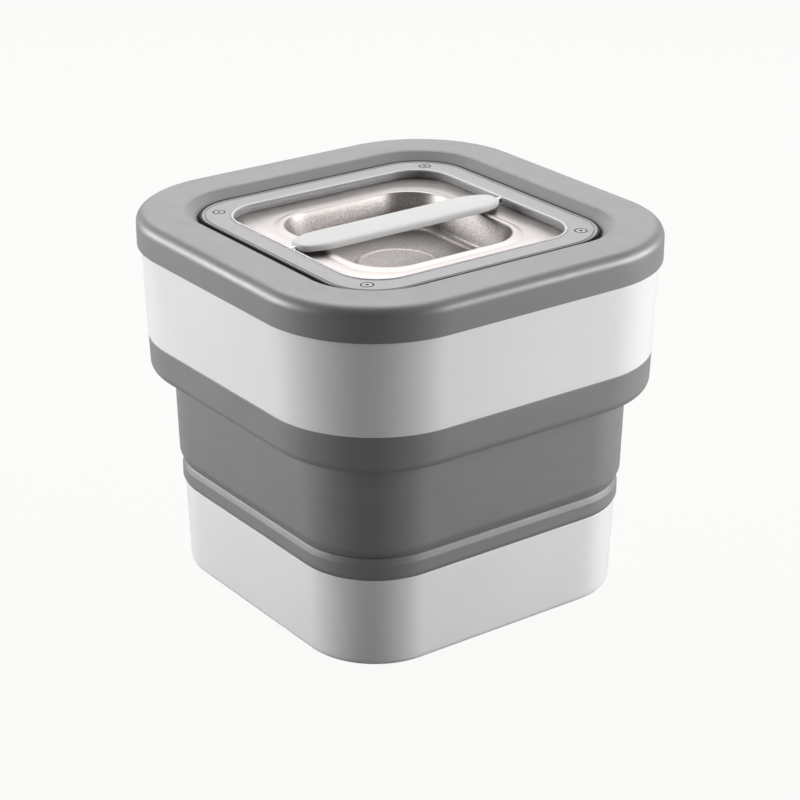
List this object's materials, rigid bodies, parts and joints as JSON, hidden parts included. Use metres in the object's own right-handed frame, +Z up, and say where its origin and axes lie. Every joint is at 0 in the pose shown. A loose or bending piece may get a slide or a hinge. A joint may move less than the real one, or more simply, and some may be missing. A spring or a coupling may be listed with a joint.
{
  "type": "portable mini washer",
  "caption": "Collapsible square tub washer with folding elastomer wall, recessed lift-out lid with bar handle, geared pulsator drive in the base.",
  "frame": {"origin": "on the floor under the middle of the tub", "axes": "+Z up; the start button is on the +Y side, the drain and the power inlet are on the -X side"},
  "size_m": [0.29, 0.29, 0.2556],
  "materials": {
    "white_gloss": "glossy moulded",
    "grey_satin": "satin moulded",
    "grey_elastomer": "satin elastomer",
    "clear_tint": "tinted clear plastic",
    "liner_metal": "fine bead-blasted",
    "black_plastic": "moulded",
    "brass_bush": "turned",
    "screw_steel": "turned",
    "board_green": "laminate",
    "light_ring": "translucent",
    "seal_rubber": "matt",
    "white_matte": "moulded",
    "bracket_steel": "pressed sheet",
    "motor_steel": "drawn can",
    "frame_silver": "satin moulded",
    "handle_white": "glossy moulded",
    "gear_white": "moulded",
    "pulsator_grey": "moulded",
    "button_white": "moulded"
  },
  "bodies": {
    "base": {"base_shell": "white_gloss", "bottom_cover": "black_plastic", "feet": "seal_rubber", "cover_screws": "screw_steel", "tub_floor": "white_matte", "lower_ring": "grey_elastomer", "folding_wall": "grey_elastomer", "motor_bracket": "bracket_steel", "bracket_screws": "screw_steel", "motor_can": "motor_steel", "lower_bush": "brass_bush", "upper_bush": "brass_bush", "shaft_seal": "seal_rubber", "button_bezel": "grey_satin", "indicator_ring": "light_ring", "control_board": "board_green", "power_inlet": "black_plastic", "drain_fitting": "grey_satin", "drain_gasket": "seal_rubber"},
    "upper": {"upper_band": "white_gloss", "shoulder": "grey_elastomer", "band_clamp_ring": "white_matte", "collar": "grey_satin"},
    "lid": {"lid_cover": "clear_tint", "lid_frame": "frame_silver", "lid_seal": "seal_rubber", "lid_liner": "liner_metal", "lid_standoffs": "black_plastic", "lid_screws": "screw_steel", "lid_handle": "handle_white", "handle_pins": "screw_steel"},
    "drive": {"drive_shaft": "screw_steel", "drive_gear": "gear_white", "pulsator": "pulsator_grey", "pulsator_cap": "pulsator_grey"},
    "motor_rotor": {"motor_shaft": "screw_steel", "pinion": "brass_bush"},
    "button": {"start_button": "button_white"},
    "plug": {"drain_plug": "seal_rubber"}
  },
  "joints": [
    {"name": "tub_fold", "type": "slide", "parent": "base", "child": "upper", "axis": [0, 0, -1], "range_m": [0, 0.11], "deforming": ["folding_wall"]},
    {"name": "lid_lift", "type": "slide", "parent": "upper", "child": "lid", "axis": [0, 0, 1], "range_m": [0, 0.15]},
    {"name": "pulsator_spin", "type": "hinge", "parent": "base", "child": "drive", "pos_m": [0, 0, 0.05], "axis": [0, 0, 1], "continuous": true},
    {"name": "motor_spin", "type": "hinge", "parent": "base", "child": "motor_rotor", "pos_m": [0.0376, 0, 0.0335], "axis": [0, 0, 1], "continuous": true},
    {"name": "button_press", "type": "slide", "parent": "base", "child": "button", "axis": [0, -1, 0], "range_m": [0, 0.0012], "stiffness_N_per_m": 500, "springref_m": -0.001},
    {"name": "plug_pull", "type": "slide", "parent": "base", "child": "plug", "axis": [-1, 0, 0], "range_m": [0, 0.03]}
  ],
  "couplings": [
    {"joint": "motor_spin", "follows": "pulsator_spin", "ratio": -4}
  ]
}
